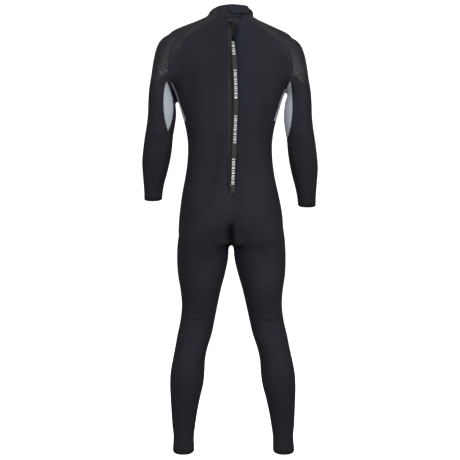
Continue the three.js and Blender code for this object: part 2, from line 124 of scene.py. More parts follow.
# Arm rows: height, x of the middle, half width, y of the middle, half depth
ARM = [
    (-150, 196, 58, -14, 60),
    (-190, 208, 53.5, -13, 57),
    (-230, 230.5, 38.5, -12, 54),
    (-270, 228.5, 44, -12, 52),
    (-318, 227, 47.5, -12, 49),
    (-350, 230.5, 47.5, -10, 47),
    (-390, 237.5, 47.5, -5, 46),
    (-438, 243.5, 48.5, 5, 45),
    (-475, 249, 47, 15, 43),
    (-510, 253, 42, 25, 40),
    (-550, 257.5, 35, 37, 35),
    (-585, 260, 31, 47, 31),
    (-640, 263, 31, 63, 31),
]
# Leg rows: height, x of the middle, half width, y of the front, y of the back
LEG = [
    (-650, 88, 74, 66, -92),
    (-690, 90, 83, 76, -116),
    (-725, 92, 86, 81, -119),
    (-767, 94, 87, 84, -117),
    (-807, 96.5, 85, 84, -109),
    (-850, 100.5, 79, 80, -98),
    (-906, 104, 67, 72, -84),
    (-950, 107, 60.5, 68, -72),
    (-1003, 115, 57.5, 63, -61),
    (-1056, 126.5, 57, 54, -63),
    (-1095, 136.5, 54, 49, -70),
    (-1135, 145, 54, 45, -77),
    (-1185, 151, 57, 40, -82),
    (-1220, 154, 55.5, 37, -80),
    (-1260, 158.5, 50, 34, -74),
    (-1300, 162, 44.5, 31, -65),
    (-1350, 165, 39, 29, -53),
    (-1400, 166, 34, 28, -46),
    (-1430, 167, 35.5, 30, -46),
    (-1475, 168, 36, 30, -46),
]
WRIST_END = (261.5, 52, -600, 0.3)
ANKLE_END = (167, -8, -1441, 0.24)


def leg_lean(z):
    return LEG_MIDDLE + 8 * np.maximum(0, CROTCH - z) / 690


def spine_y(z):
    return SPINE_Y + SPINE_LEAN * z


# ---- camera, light and backdrop ----
CAMERA_DISTANCE = 3.8
VIEW_HEIGHT = 1.53
EYE = Vector((0, 0, -0.705))
DOME_RADIUS = 9
FLOOR_HALF = 7
FLOOR_Z = -1.53


def make_camera():
    data = bpy.data.cameras.new("camera")
    data.sensor_width = 36
    data.lens = 36 * CAMERA_DISTANCE / VIEW_HEIGHT
    camera = bpy.data.objects.new("camera", data)
    camera.location = EYE + Vector((0, -CAMERA_DISTANCE - 0.03, 0))
    camera.rotation_euler = (math.pi / 2, 0, 0)
    bpy.context.collection.objects.link(camera)
    bpy.context.scene.camera = camera


def area_light(name, place, target, size, power):
    data = bpy.data.lights.new(name, "AREA")
    data.shape, data.size, data.energy = "DISK", size, power
    light = bpy.data.objects.new(name, data)
    light.location = place
    light.rotation_euler = (Vector(target) - Vector(place)).to_track_quat("-Z", "Y").to_euler()
    bpy.context.collection.objects.link(light)


# ---- node helpers ----
class Nodes:
    """A material being made: add(type, inputs) makes a node, and a socket given as an input is linked."""

    def __init__(self, name, color, roughness):
        self.material = bpy.data.materials.new(name)
        self.material.use_nodes = True
        self.tree = self.material.node_tree
        self.shader = self.tree.nodes["Principled BSDF"]
        self.set("Base Color", (*color, 1))
        self.set("Roughness", roughness)
        self.place = self.add("ShaderNodeTexCoord").outputs["Object"]

    def set(self, name, value):
        socket = self.shader.inputs[name]
        if isinstance(value, bpy.types.NodeSocket):
            self.tree.links.new(value, socket)
        else:
            socket.default_value = value

    def add(self, kind, inputs=(), **facts):
        node = self.tree.nodes.new(kind)
        for key, value in facts.items():
            setattr(node, key, value)
        for key, value in dict(inputs).items():
            if isinstance(value, bpy.types.NodeSocket):
                self.tree.links.new(value, node.inputs[key])
            else:
                node.inputs[key].default_value = value
        return node

    def noise(self, scale, detail=3.0, vector=None, roughness=0.5):
        node = self.add("ShaderNodeTexNoise", {"Scale": scale, "Detail": detail, "Roughness": roughness,
                                               "Vector": vector or self.place})
        return node.outputs["Fac"]

    def math(self, operation, a, b=0.0, clamp=False):
        node = self.add("ShaderNodeMath", {0: a, 1: b}, operation=operation, use_clamp=clamp)
        return node.outputs[0]

    def stretched(self, x, y, z):
        node = self.add("ShaderNodeMapping", {"Vector": self.place, "Scale": (x, y, z)})
        return node.outputs["Vector"]

    def ramp(self, value, stops):
        node = self.add("ShaderNodeValToRGB", {"Fac": value})
        elements = node.color_ramp.elements
        while len(elements) < len(stops):
            elements.new(0.5)
        for element, (place, color) in zip(elements, stops):
            element.position, element.color = place, (*color, 1)
        return node.outputs["Color"]

    def bump(self, height, strength, distance):
        node = self.add("ShaderNodeBump", {"Height": height, "Strength": strength, "Distance": distance})
        self.set("Normal", node.outputs["Normal"])


def shades(color, spread, start=0.25):
    """Ramp stops for the colour, darker and lighter by that share."""
    darker, lighter = (tuple(c * share for c in color) for share in (1 - spread, 1 + spread))
    return [(start, darker), (1 - start, lighter)]


# What each tint attribute that paint() writes mixes into the knit: the reddish colour is a painted highlight,
# the pale one painted light and the near-black one painted shade
TINTS = {"warm": (0.046, 0.037, 0.038), "cool": (0.0125, 0.0150, 0.0225), "pale": (0.0240, 0.0240, 0.0310),
         "deep": (0.0015, 0.0015, 0.002)}


def knit(name, color, roughness, scale=900, depth=0.00012, spread=0.1):
    """Nylon-faced neoprene: rows of fine knit loops, slow changes of shade, and the tints."""
    m = Nodes(name, color, roughness)
    wave = {"Scale": scale / 6.28, "Distortion": 1.5, "Detail": 1.0, "Detail Scale": 2.0, "Vector": m.place}
    rows = m.add("ShaderNodeTexWave", wave, bands_direction="Z").outputs["Fac"]
    loops = m.add("ShaderNodeTexVoronoi", {"Scale": scale * 0.9, "Vector": m.place}).outputs["Distance"]
    height = m.math("ADD", m.math("MULTIPLY", rows, 0.4), loops)
    slow = m.noise(9, 4)
    fine = m.noise(260, 2)
    mixed = m.math("ADD", m.math("MULTIPLY", slow, 0.6), m.math("MULTIPLY", fine, 0.4))
    shade = m.ramp(mixed, shades(color, spread))
    for tint, toward in TINTS.items():
        share = m.add("ShaderNodeAttribute", attribute_name=tint).outputs["Fac"]
        blend = m.add("ShaderNodeMix", {0: share, 6: shade, 7: (*toward, 1)}, data_type="RGBA")
        shade = blend.outputs[2]
    m.set("Base Color", shade)
    m.bump(m.math("ADD", height, m.math("MULTIPLY", m.noise(60, 3), 0.8)), 0.35, depth)
    m.set("Specular IOR Level", 0.12)
    return m.material


def smooth_skin(name, color, roughness):
    """Embossed smooth-skin neoprene: a fine mesh pattern with scuffed, brighter streaks, and whitish specks of
    painted highlight where the glint attribute is set.
    """
    m = Nodes(name, color, roughness)
    mesh = m.add("ShaderNodeTexVoronoi", {"Scale": 420, "Vector": m.place}, feature="DISTANCE_TO_EDGE")
    streaks = m.noise(70, 5, m.stretched(1, 1, 0.45), 0.65)
    shade = m.ramp(streaks, [(0.35, tuple(c * 0.75 for c in color)), (0.8, tuple(c * 1.5 for c in color))])
    # Painted highlight: whitish specks mixed into the colour where the glint attribute is set
    specks = m.noise(210, 3, m.stretched(1, 1, 0.7), 0.7)
    flecks = m.math("MULTIPLY", m.math("SUBTRACT", specks, 0.55, True), 7, True)
    glint = m.math("MULTIPLY", flecks, m.add("ShaderNodeAttribute", attribute_name="glint").outputs["Fac"])
    glinted = m.add("ShaderNodeMix", {0: glint, 6: shade, 7: (0.16, 0.17, 0.18, 1)}, data_type="RGBA")
    m.set("Base Color", glinted.outputs[2])
    m.set("Roughness", m.add("ShaderNodeMapRange", {"Value": streaks, 3: 0.5, 4: 0.7}).outputs[0])
    cells = m.math("MULTIPLY", mesh.outputs[0], 2.0, True)
    m.bump(m.math("ADD", cells, m.math("MULTIPLY", streaks, 0.7)), 0.5, 0.0003)
    m.set("Specular IOR Level", 0.3)
    return m.material


def plain(name, color, roughness, grain, spread=0.15, specular=0.5):
    """Moulded or painted stuff with a fine grain."""
    m = Nodes(name, color, roughness)
    grains = m.noise(grain, 4)
    m.set("Base Color", m.ramp(grains, shades(color, spread)))
    rough = m.add("ShaderNodeMapRange", {"Value": grains, 3: roughness * 0.8, 4: min(1, roughness * 1.25)})
    m.set("Roughness", rough.outputs[0])
    m.bump(grains, 0.3, 0.0001)
    m.set("Specular IOR Level", specular)
    return m.material


RIB_PITCH = 1.1


def woven(name, color, roughness):
    """Webbing or tape: a twill of diagonal ribs."""
    m = Nodes(name, color, roughness)
    split = m.add("ShaderNodeSeparateXYZ", {"Vector": m.stretched(*[1000 / RIB_PITCH] * 3)})
    slant = m.math("ADD", split.outputs["X"], split.outputs["Z"])
    across = m.math("SINE", m.math("MULTIPLY", slant, 3.1416))
    along = m.math("SINE", m.math("MULTIPLY", split.outputs["Z"], 6.2832))
    height = m.math("ADD", m.math("MULTIPLY", across, 0.5), m.math("MULTIPLY", along, 0.3))
    tone = m.math("ADD", m.math("MULTIPLY", height, 0.35), m.noise(120, 3))
    m.set("Base Color", m.ramp(tone, shades(color, 0.3, 0.1)))
    m.bump(height, 0.6, 0.0003)
    m.set("Sheen Weight", 0.15)
    m.set("Specular IOR Level", 0.3)
    return m.material


def make_materials():
    return {
        "neoprene": knit("neoprene", (0.0140, 0.0140, 0.0196), 0.75),
        "lining": knit("lining", (0.03, 0.03, 0.034), 0.9, spread=0.15),
        "smooth_skin": smooth_skin("smooth_skin", (0.0096, 0.0099, 0.0132), 0.5),
        "grey_neoprene": knit("grey_neoprene", (0.33, 0.355, 0.39), 0.75, spread=0.06),
        "knee_pad": knit("knee_pad", (0.010, 0.010, 0.013), 0.8, scale=500, depth=0.0003),
        "edging": knit("edging", (0.009, 0.009, 0.011), 0.8),
        "tape": woven("tape", (0.013, 0.0145, 0.020), 0.8),
        "webbing": woven("webbing", (0.024, 0.0225, 0.018), 0.75),
        "print": plain("print", (0.78, 0.79, 0.81), 0.6, grain=700, spread=0.08),
        "thread": plain("thread", (0.055, 0.055, 0.06), 0.7, grain=900),
        "hem_thread": plain("hem_thread", (0.07, 0.04, 0.03), 0.7, grain=900),
        "pad": knit("pad", (0.005, 0.005, 0.006), 1.0),
        "coil": plain("coil", (0.055, 0.053, 0.047), 0.5, grain=500),
        "zip_metal": plain("zip_metal", (0.0035, 0.0035, 0.0045), 0.6, grain=400, spread=0.3, specular=0.16),
    }


# ---- curves and lofts ----
def spline(points, count):
    """A smooth line through the points, as count places spread evenly along it."""
    p = np.array(points, float)
    p = np.vstack([2 * p[0] - p[1], p, 2 * p[-1] - p[-2]])
    t = np.linspace(0, 1, 12, endpoint=False)[:, None]
    out = []
    for a, b, c, d in zip(p, p[1:], p[2:], p[3:]):
        bend, turn = 2 * a - 5 * b + 4 * c - d, 3 * b - a - 3 * c + d
        out.append(0.5 * (2 * b + (c - a) * t + bend * t**2 + turn * t**3))
    out = np.vstack([*out, p[-2:-1]])
    length = np.concatenate([[0], np.cumsum(np.linalg.norm(np.diff(out, axis=0), axis=1))])
    at = np.linspace(0, length[-1], count)
    return np.stack([np.interp(at, length, out[:, k]) for k in range(out.shape[1])], 1)


def dense(rows, step=8):
    """Rows of sections filled in smoothly between the given ones."""
    rows = np.array(rows, float)
    z = rows[:, 0]
    slope = np.gradient(rows, z, axis=0)
    out = []
    for i in range(len(rows) - 1):
        gap = z[i + 1] - z[i]
        for t in np.linspace(0, 1, max(2, int(abs(gap) / step)), endpoint=False):
            h = [2 * t**3 - 3 * t**2 + 1, t**3 - 2 * t**2 + t, -2 * t**3 + 3 * t**2, t**3 - t**2]
            out.append(h[0] * rows[i] + h[1] * gap * slope[i] + h[2] * rows[i + 1] + h[3] * gap * slope[i + 1])
    return np.array([*out, rows[-1]])


def power(value):
    return np.sign(value) * np.abs(value) ** (2 / ROUNDNESS)


def ring(z, x, half, side, front, back, furrow, sharp, front_drop, back_drop, count):
    turn = np.linspace(0, 2 * math.pi, count, endpoint=False)
    across, along = np.cos(turn), np.sin(turn)
    px = x + half * power(across)
    ahead = along >= 0
    hollow = np.where(ahead, 0, furrow * np.exp(-np.abs(px / FURROW_WIDTH) ** sharp))
    py = side + power(along) * np.where(ahead, front - side, side - back) + hollow
    pz = z - np.where(ahead, front_drop, back_drop) * along**2
    return np.stack([px, py, pz], 1)


def loft_mesh(rings):
    """A closed tube through the rings, listed from the bottom up, as vertices and faces."""
    n = len(rings[0])
    v = np.vstack([*rings, rings[0].mean(0), rings[-1].mean(0)])
    i = np.arange(n)
    k = (i + 1) % n
    faces = []
    for j in range(len(rings) - 1):
        a, b = j * n, (j + 1) * n
        faces += [np.stack([a + i, a + k, b + k], 1), np.stack([a + i, b + k, b + i], 1)]
    low, high, last = len(v) - 2, len(v) - 1, (len(rings) - 1) * n
    faces += [np.stack([np.full(n, low), k, i], 1), np.stack([np.full(n, high), last + i, last + k], 1)]
    return v, np.vstack(faces)


def joined(parts):
    """Several meshes as one list of places and one of faces."""
    v, faces = [], []
    for points, f in parts:
        faces += [tuple(k + len(v) for k in face) for face in f]
        v += [tuple(p) for p in points]
    return v, faces


def trunk_rings():
    sharp = lambda z: 4 if z > ZIP_BOTTOM - 20 else 2
    rows = [(z, half, side, front, spine_y(z - drop) - furrow, furrow, sharp(z), lower, drop)
            for z, half, side, front, furrow, lower, drop in TRUNK]
    rows += [(*row[:5], 0, 4, *row[5:]) for row in COLLAR]
    return [ring(row[0], 0, *row[1:], 120) for row in dense(rows)]


def arm_rings(side):
    cap = []
    for degrees in (78, 62, 45, 28, 12):
        angle = math.radians(degrees)
        cap.append((CAP["z"] + CAP["rise"] * math.sin(angle), CAP["x"], CAP["half_width"] * math.cos(angle),
                    CAP["y"], CAP["half_depth"] * math.cos(angle)))
    rows = dense([*cap, *ARM][::-1])
    return [ring(z * REACH[side], SIGN[side] * x, half, y, y + deep, y - deep, 0, 2, 0, 0, 64)
            for z, x, half, y, deep in rows]


def leg_rings(side):
    return [ring(z, SIGN[side] * x + leg_lean(z), half, (front + back) / 2, front, back, 0, 2, 0, 0, 72)
            for z, x, half, front, back in dense(LEG[::-1])]


# ---- the worn surface ----
# Body forms pressed out of or into the surface: place, reach in x, y and z, and height, on both sides
FORMS = [
    ((86, -112, -662), (58, 60, 78), 17),
    ((84, -100, -765), (58, 50, 16), -5),
    ((0, -95, -735), (9, 60, 46), -13),
    ((84, -100, -150), (42, 50, 66), 7),
    ((140, -78, -262), (36, 50, 90), 5),
    ((36, -95, -440), (22, 40, 110), 4),
    ((100, -90, -860), (36, 50, 100), 4),
    ((238, -25, -150), (34, 50, 60), 4),
    ((242, -60, -262), (28, 34, 70), 4),
    ((240, -52, -388), (16, 26, 22), 4),
    ((75, 108, -165), (58, 40, 48), 7),
    ((118, 64, -982), (30, 34, 36), 5),
    ((116, -62, -1015), (24, 34, 46), -4),
    ((134, -80, -1190), (19, 40, 72), 4),
    ((170, -78, -1172), (18, 40, 60), 3.5),
]
# Soft folds of the cloth: from, to, width and depth
FOLDS = [
    ((-40, -110, -530), (-72, -124, -640), 10, 4.5),
    ((-70, -108, -470), (-120, -90, -500), 9, 2.2),
    ((38, -98, -50), (40, -104, -420), 5, 1.4),
    ((40, -104, -400), (68, -118, -630), 9, 4.5),
    ((60, -100, -470), (125, -80, -505), 9, 2.2),
    ((-40, -110, -745), (-140, -90, -780), 9, 2.4),
    ((44, -110, -745), (150, -90, -778), 9, 2.4),
    ((-80, -60, -975), (-135, -60, -990), 6, 2.0),
    ((-85, -60, -1008), (-140, -58, -1000), 6, 2.2),
    ((90, -60, -990), (150, -58, -975), 6, 2.0),
    ((95, -58, -1004), (150, -56, -1014), 6, 2.2),
    ((-205, -45, -370), (-262, -45, -392), 5, 1.6),
    ((-215, -40, -402), (-268, -36, -398), 5, 1.6),
    ((205, -45, -380), (262, -45, -402), 5, 1.6),
    ((215, -40, -414), (268, -36, -410), 5, 1.6),
]


def bell(value, middle, width):
    """1 at the middle, fading to 0 over that width."""
    return np.exp(-(((value - middle) / width) ** 2))


def ramp_up(value, start, length):
    """0 up to the start, rising to 1 over that length."""
    return np.clip((value - start) / length, 0, 1)


def press(v):
    """How far each point stands out for the body forms and folds, in mm."""
    out = np.zeros(len(v))
    forms = [((s * x + (leg_lean(z) if z < CROTCH else 0), y, z), r, h)
             for (x, y, z), r, h in FORMS for s in (-1, 1)]
    for place, reach, height in forms:
        out += height * np.exp(-(((v - place) / reach) ** 2).sum(1))
    for start, end, width, depth in FOLDS:
        a, b = np.array(start, float), np.array(end, float)
        t = np.clip(((v - a) @ (b - a)) / ((b - a) @ (b - a)), 0, 1)
        away = np.linalg.norm(v - (a + t[:, None] * (b - a)), axis=1)
        fade = np.sin(np.pi * np.clip(t, 0.02, 0.98)) ** 0.6
        lip = 0.5 * bell(away, 1.8 * width, width)
        out -= depth * fade * (bell(away, 0, width) - lip)
    return out


def vertex_normals(v, t):
    cross = np.cross(v[t[:, 1]] - v[t[:, 0]], v[t[:, 2]] - v[t[:, 0]])
    total = np.zeros_like(v)
    for k in range(3):
        np.add.at(total, t[:, k], cross)
    return total / np.maximum(np.linalg.norm(total, axis=1, keepdims=True), 1e-12)


def corners(t):
    """The three edges of every triangle."""
    return np.vstack([t[:, [0, 1]], t[:, [1, 2]], t[:, [2, 0]]])


def smoothed(v, t, times, back=1.04):
    """Steps in towards the neighbours' middle and back out. With back -1 every step goes in."""
    edges = np.vstack([corners(t), corners(t)[:, ::-1]])
    count = np.bincount(edges[:, 0], minlength=len(v))[:, None]
    for step in range(times):
        total = np.zeros_like(v)
        np.add.at(total, edges[:, 0], v[edges[:, 1]])
        v = v + (0.5 if step % 2 == 0 else -0.5 * back) * (total / count - v)
    return v


HIPS_Z = -685
# Where left and right differ: the left hip as a share of its width, the others in mm
LEFT_HIP_SLIMMER = 0.035
COLLAR_SHIFT = 5
RIGHT_SHOULDER_DROP = 8
LEFT_SHOULDER_DROP = 4


def worn_surface():
    """The whole outside as one smooth triangle mesh, in mm."""
    meshes = [loft_mesh(trunk_rings())]
    for side in SIGN:
        meshes += [loft_mesh(arm_rings(side)), loft_mesh(leg_rings(side))]
    v, faces = joined(meshes)
    data = bpy.data.meshes.new("worn")
    data.from_pydata(v, [], faces)
    body = bpy.data.objects.new("worn", data)
    bpy.context.collection.objects.link(body)
    remesh = body.modifiers.new("remesh", "REMESH")
    remesh.mode, remesh.voxel_size, remesh.adaptivity = "VOXEL", VOXEL, 0
    made = body.evaluated_get(bpy.context.evaluated_depsgraph_get()).to_mesh()
    made.calc_loop_triangles()
    v = np.zeros(len(made.vertices) * 3)
    made.vertices.foreach_get("co", v)
    t = np.zeros(len(made.loop_triangles) * 3, int)
    made.loop_triangles.foreach_get("vertices", t)
    bpy.data.objects.remove(body)
    v, t = v.reshape(-1, 3), t.reshape(-1, 3)
    v = smoothed(v, t, 24)
    hips = bell(v[:, 2], HIPS_Z, 34) * ramp_up(np.abs(v[:, 0]), 40, 50)
    v += hips[:, None] * (smoothed(v, t, 36, -1) - v)
    v = v + vertex_normals(v, t) * press(v)[:, None]
    v = smoothed(v, t, 4)
    x, z = v[:, 0].copy(), v[:, 2].copy()
    trunk_left = (x < 0) & (x > -215)
    v[:, 0] *= 1 - LEFT_HIP_SLIMMER * trunk_left * bell(z, -660, 70)
    v[:, 0] += COLLAR_SHIFT * ramp_up(z, 6, 20)
    right = ramp_up(x, 45, 70)
    lower = RIGHT_SHOULDER_DROP * right * right * (3 - 2 * right) + LEFT_SHOULDER_DROP * bell(v[:, 0], -108, 36)
    v[:, 2] -= ramp_up(z, -280, 160) * lower
    return v, t


# ---- cutting the surface into panels ----
class Surface:
    """Triangles with a panel name each. cut() splits the triangles that a seam crosses."""

    def __init__(self, v, t):
        self.v, self.t = v, t
        self.n = vertex_normals(v, t)
        self.label = np.full(len(t), "suit", dtype="U24")
        self.seams = []

    def middle(self):
        return self.v[self.t].mean(1)

    def split(self, chosen, value):
        """Splits the chosen triangles where value crosses zero. Returns the new line's pieces."""
        value = np.where(np.abs(value) < 1e-6, 1e-6, value)
        above = value[self.t] > 0
        mixed = chosen & (above.any(1)) & (~above.all(1))
        if not mixed.any():
            return np.zeros((0, 2), int)
        tri, up = self.t[mixed], above[mixed]
        lone = np.where(up.sum(1) == 1, up.argmax(1), (~up).argmax(1))
        rows = np.arange(len(tri))
        a, b, c = (tri[rows, (lone + k) % 3] for k in range(3))
        pairs = np.sort(np.vstack([np.stack([a, b], 1), np.stack([a, c], 1)]), axis=1)
        unique, where = np.unique(pairs, axis=0, return_inverse=True)
        where = where.reshape(-1)
        i, j = unique.T
        share = np.clip(value[i] / (value[i] - value[j]), 0.03, 0.97)[:, None]
        base = len(self.v)
        self.v = np.vstack([self.v, self.v[i] + share * (self.v[j] - self.v[i])])
        normal = self.n[i] + share * (self.n[j] - self.n[i])
        self.n = np.vstack([self.n, normal / np.linalg.norm(normal, axis=1, keepdims=True)])
        p, q = base + where[: len(a)], base + where[len(a):]
        names = self.label[mixed]
        made = [np.stack(three, 1) for three in ((a, p, q), (p, b, c), (p, c, q))]
        self.t = np.vstack([self.t[~mixed], *made])
        self.label = np.concatenate([self.label[~mixed], names, names, names])
        return np.stack([p, q], 1)

    def cut(self, field, names, where=None, seam=None):
        """names maps a panel's name to its name on the field's positive side. seam names the line's thread."""
        chosen = lambda: np.isin(self.label, list(names)) & (True if where is None else where(self.middle()))
        for shift in (SEAM_HALF, -SEAM_HALF):
            self.split(chosen(), field(self.v) + shift)
        line = self.split(chosen(), field(self.v))
        picked = chosen() & (field(self.middle()) > 0)
        for old, new in names.items():
            self.label[picked & (self.label == old)] = new
        if seam:
            self.seams.append((seam, line))

    def rename(self, old, new, where=None):
        chosen = self.label == old
        if where is not None:
            chosen &= where(self.middle())
        self.label[chosen] = new


def seam_line(points, of, by, sign=1):
    """A smooth seam giving one coordinate by another: every point's distance from it, positive past it."""
    line = spline(points, 240)
    line = line[np.argsort(line[:, 1])]
    slope = np.gradient(line[:, 0], line[:, 1])

    def field(v):
        place = v * (sign, 1, 1)
        lean = np.interp(place[:, by], line[:, 1], slope)
        return (place[:, of] - np.interp(place[:, by], line[:, 1], line[:, 0])) / np.sqrt(1 + lean**2)

    return field


def upright(points, side="right", stretch=1.0):
    """A seam drawn as x against z on the right side; positive away from the suit's middle."""
    return seam_line([(x, z * stretch) for x, z in points], 0, 2, SIGN[side])


def level(points, side="right", stretch=1.0):
    """A seam drawn as x against z on the right side; positive above it."""
    return seam_line([(z * stretch, x) for x, z in points], 2, 0, SIGN[side])


def flank(points):
    """A seam drawn as y against z; positive towards the front."""
    return seam_line(points, 1, 2)


def cuff_field(side, end, up=0.0):
    """Positive past the plane, which lies that far up from the open end."""
    _, y, z, forward = end
    centre = np.array([0, y, z * (REACH[side] if end is WRIST_END else 1)])
    normal = np.array([0, -math.sin(forward), math.cos(forward)])
    return lambda v: up - (v - centre) @ normal


ZIP_LEFT = [(-9, -900), (-9, -300), (-9, -100), (-10, -60), (-14, -20), (-14, 40)]
ZIP_RIGHT = [(12, -900), (12, -300), (12, -75), (14, -52), (23, -36), (33, -22), (38, -8), (39, 40)]
RAGLAN = [(52, 80), (66, 30), (100, -6), (131, -35), (178, -78), (200, -128), (206, -180), (200, -208),
          (188, -235), (176, -270), (171, -305), (170, -350), (190, -480), (212, -600), (222, -760)]
SHOULDER_FOOT = [(100, -170), (185, -186), (212, -192), (240, -212), (264, -202), (300, -190)]
GUSSET_OUT = [(196, -150), (207, -209), (214, -230), (218, -253), (219.5, -283), (218.5, -313), (215, -339),
              (210, -363), (204, -380), (194, -400)]
GUSSET_OUT_RIGHT = [(182, -150), (192, -180), (198, -206), (202.5, -225), (204.5, -248), (206, -280),
                    (205.5, -306), (202.5, -338), (198, -362), (192, -385), (182, -402)]
GUSSET_IN = [(240, -150), (212, -209), (203, -226), (196, -246), (190.5, -266), (188, -286), (187.5, -306),
             (189.5, -329), (195, -353), (201, -369), (208, -384), (218, -400)]
FOREARM = [(160, -366), (188, -388), (206, -412), (218, -440), (238, -512), (256, -556), (270, -592),
           (284, -660)]
BACK_SEAM = [(0, -385), (12, -384), (60, -377), (100, -365), (131, -352), (153, -341), (200, -318)]
WAIST_FRONT = [(0, -364), (60, -359), (110, -350), (150, -341), (200, -326)]
HIP_FRONT = [(0, -606), (50, -604), (90, -598), (150, -578), (190, -560)]
KNEE_BACK = [(20, -1052), (80, -1055), (118, -1060), (150, -1056), (200, -1048)]
SIDE_SEAM = [(-2, -100), (-4, -345), (-8, -700), (-12, -1000), (-16, -1150), (-12, -1500)]


def rim_height(y):
    depth = np.clip(np.where(y < -2, -(y + 2) / 60, (y + 2) / 62), 0, 1.1)
    return 14.5 + np.where(y < -2, 23 * depth**1.05, -14 * depth**2)


def foot_height(y):
    depth = np.where(y < -14, (y + 14) / 72, (y + 14) / 74)
    return -4 - np.where(y < -14, 2, 40) * np.minimum(depth**2, 1.3)


def cut_sleeves(s):
    for side, k in SIGN.items():
        reach = REACH[side]
        thread = f"arm_{side}"
        hand = lambda m: (k * m[:, 0] > 205) & (m[:, 2] < -480) & (m[:, 2] > -760)
        foot = lambda m: (k * (m[:, 0] - 4) > 0) & (m[:, 2] < -1300)
        s.cut(cuff_field(side, WRIST_END), {"suit": "off"}, hand)
        s.cut(cuff_field(side, WRIST_END, CUFF_HEIGHT), {"suit": f"wrist_hem_{side}"}, hand, f"hem_{thread}")
        s.cut(cuff_field(side, ANKLE_END), {"suit": "off"}, foot)
        s.cut(cuff_field(side, ANKLE_END, CUFF_HEIGHT), {"suit": f"ankle_hem_{side}"}, foot, f"hem_leg_{side}")
        upper = lambda m: (k * m[:, 0] > 50) & (m[:, 2] > -700)
        s.cut(upright(RAGLAN, side), {"suit": f"arm_{side}"}, upper, "suit")
        s.cut(level(SHOULDER_FOOT, side, reach), {f"arm_{side}": f"shoulder_{side}"}, None, "suit")
        high = lambda m: m[:, 2] > -388 * reach
        outer = {f"arm_{side}": f"sleeve_outer_{side}"}
        edge = GUSSET_OUT if side == "left" else GUSSET_OUT_RIGHT
        s.cut(upright(edge, side, reach), outer, high, thread)
        s.cut(upright(FOREARM, side, reach), outer, lambda m: ~high(m), thread)
        if side == "left":
            s.cut(upright(GUSSET_IN, side, reach), {f"arm_{side}": f"underarm_{side}"}, high, thread)
        else:
            s.rename(f"arm_{side}", f"underarm_{side}", high)
        s.rename(f"arm_{side}", f"forearm_inner_{side}")


def cut_collar(s):
    neck = lambda m: (m[:, 2] > -70) & (np.abs(m[:, 0]) < 110)
    s.cut(lambda v: v[:, 2] - rim_height(v[:, 1]), {"suit": "off"}, lambda m: neck(m) & (m[:, 2] > -20))
    s.cut(lambda v: v[:, 2] - foot_height(v[:, 1]), {"suit": "collar"}, neck, "suit")


def cut_body(s):
    zip_left, zip_right = upright(ZIP_LEFT), upright(ZIP_RIGHT)
    spine = lambda m: (m[:, 1] < -40) & (m[:, 2] > ZIP_BOTTOM - 8) & (np.abs(m[:, 0]) < 60)
    s.cut(zip_left, {"suit": "zip"}, spine)
    s.cut(zip_right, {"zip": "suit"})
    s.rename("zip", "off")
    s.cut(lambda v: 1 - np.abs(v[:, 0] - 37), {"collar": "off"}, lambda m: m[:, 1] < -20)
    wide = lambda m: (m[:, 2] > WAIST) & (np.abs(m[:, 0]) > 100)
    rear = flank([(-3, -60), (-3, -150), (-26, -198), (-33, -222), (-36, -250), (-41, -290), (-45, -350)])
    thin = upright([(202, -196), (197, -209), (185.3, -231), (175.3, -256), (168.6, -279), (158.6, -306),
                    (144, -346)], "left")
    either = lambda v: np.where(v[:, 0] > 0, rear(v), np.minimum(thin(v), v[:, 1] + 52))
    s.cut(either, {"suit": "side"}, wide, "suit")
    s.cut(flank([(-4, -60), (-4, -150), (21, -240), (33, -290), (39, -350)]), {"side": "suit"}, None, "suit")
    side_y, side_z = np.array(SIDE_SEAM[::-1]).T
    behind = lambda m: m[:, 1] < np.interp(m[:, 2], side_z, side_y)
    for side, k in SIGN.items():
        own = lambda m: k * m[:, 0] > 0
        s.rename("side", f"side_strip_{side}", own)
        s.cut(level(BACK_SEAM, side), {"suit": f"back_{side}"}, lambda m: own(m) & behind(m), "suit")
        s.cut(level(WAIST_FRONT, side), {"suit": "chest"}, lambda m: own(m) & ~behind(m), "suit")
    s.cut(lambda v: WAIST - v[:, 2], {"side_strip_left": "suit", "side_strip_right": "suit"})
    s.cut(flank(SIDE_SEAM), {"suit": "front"}, lambda m: m[:, 2] < -340, "legs")
    middle = lambda v: v[:, 0] - np.where(v[:, 2] < CROTCH, LEG_MIDDLE, 0)
    s.cut(middle, {"suit": "seat_right", "front": "front_right"}, None, "suit")
    s.rename("suit", "seat_left")
    s.rename("front", "front_left")
    for side in SIGN:
        front = f"front_{side}"
        s.cut(level(HIP_FRONT, side), {front: "belly"}, lambda m: m[:, 2] > -700, "suit")
        for foot, above in zip(KNEE_SPAN, ("thigh", "knee_pad")):
            s.cut(lambda v: v[:, 2] - foot, {front: f"{above}_{side}"}, None, f"leg_{side}")
        s.rename(front, f"shin_{side}")
        s.cut(lambda v: -level(KNEE_BACK, side)(v), {f"seat_{side}": f"calf_{side}"}, None, f"leg_{side}")


# ---- panels as cloth ----
def new_object(name, v, faces, material):
    """A smooth-shaded object from places in mm."""
    data = bpy.data.meshes.new(name)
    data.from_pydata((np.asarray(v, float) * MM).tolist(), [], [list(map(int, f)) for f in faces])
    data.update()
    data.shade_smooth()
    data.set_sharp_from_angle(angle=math.radians(50))
    data.materials.append(material)
    made = bpy.data.objects.new(name, data)
    bpy.context.collection.objects.link(made)
    return made


def assign(made, slot, body, *nodes):
    """The piece's material slot, which is not used, the CAD nodes it replaces and the body it rides on."""
    if nodes:
        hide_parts(*nodes)
    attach(made, body)


